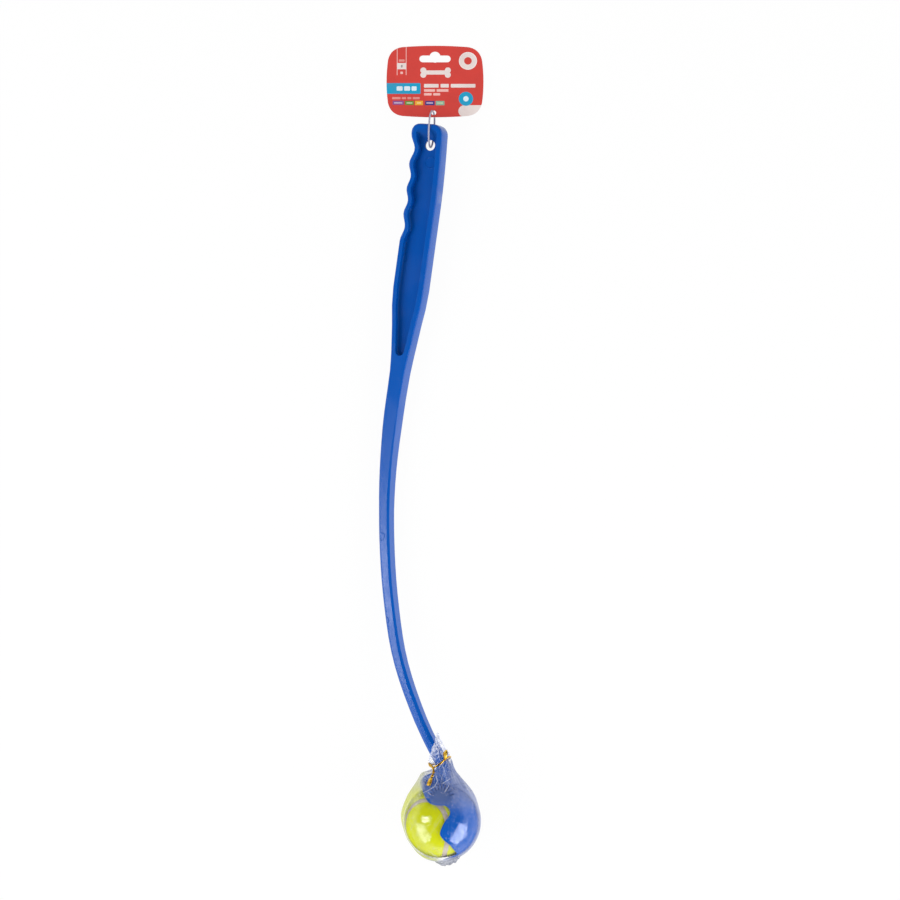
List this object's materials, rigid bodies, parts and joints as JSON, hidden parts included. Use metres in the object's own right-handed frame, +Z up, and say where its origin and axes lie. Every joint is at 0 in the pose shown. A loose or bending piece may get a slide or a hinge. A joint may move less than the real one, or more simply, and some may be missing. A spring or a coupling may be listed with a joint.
{
  "type": "dog ball thrower",
  "caption": "Long curved throwing arm with a finger-grooved grip and an open cup that holds a tennis ball, wrapped in clear film, with a hang tag on a plastic loop.",
  "frame": {"origin": "middle of the footprint, on the table that the thrower lies on", "axes": "+Y from the cup towards the grip and the hang tag, +Z up from the table, +X towards the closed back of the cup"},
  "size_m": [0.0928, 0.7236, 0.0708],
  "materials": {
    "blue_plastic": "satin moulded polypropylene",
    "core_rubber": "matt",
    "yellow_felt": "fuzzy felt",
    "seam_rubber": "matt",
    "clear_film": "clear stretch film",
    "gold_foil": "metallised foil on a wire",
    "red_card": "coated printed card",
    "clear_plastic": "translucent moulded plastic"
  },
  "bodies": {
    "wand": {"launcher_wand": "blue_plastic", "film_bag": "clear_film", "twist_tie": "gold_foil"},
    "ball": {"ball_core_half_1": "core_rubber", "ball_core_half_2": "core_rubber", "ball_felt_panel_1": "yellow_felt", "ball_felt_panel_2": "yellow_felt", "ball_seam": "seam_rubber"},
    "loop": {"tag_loop": "clear_plastic"},
    "tag": {"hang_tag": "red_card"}
  },
  "joints": [
    {"name": "ball_release", "type": "slide", "parent": "wand", "child": "ball", "axis": [-0.9372, -0.0096, -0.3487], "range_m": [0, 0.04], "deforming": ["film_bag"]},
    {"name": "loop_swing", "type": "hinge", "parent": "wand", "child": "loop", "pos_m": [-0.00061, 0.27192, 0.01564], "axis": [-0.3488, 0.0257, 0.9368], "range_deg": [-60, 60]},
    {"name": "tag_swing", "type": "hinge", "parent": "loop", "child": "tag", "pos_m": [0.00054, 0.29211, 0.01551], "axis": [0.9749, -0.0546, 0.2159], "range_deg": [-20, 60]}
  ]
}
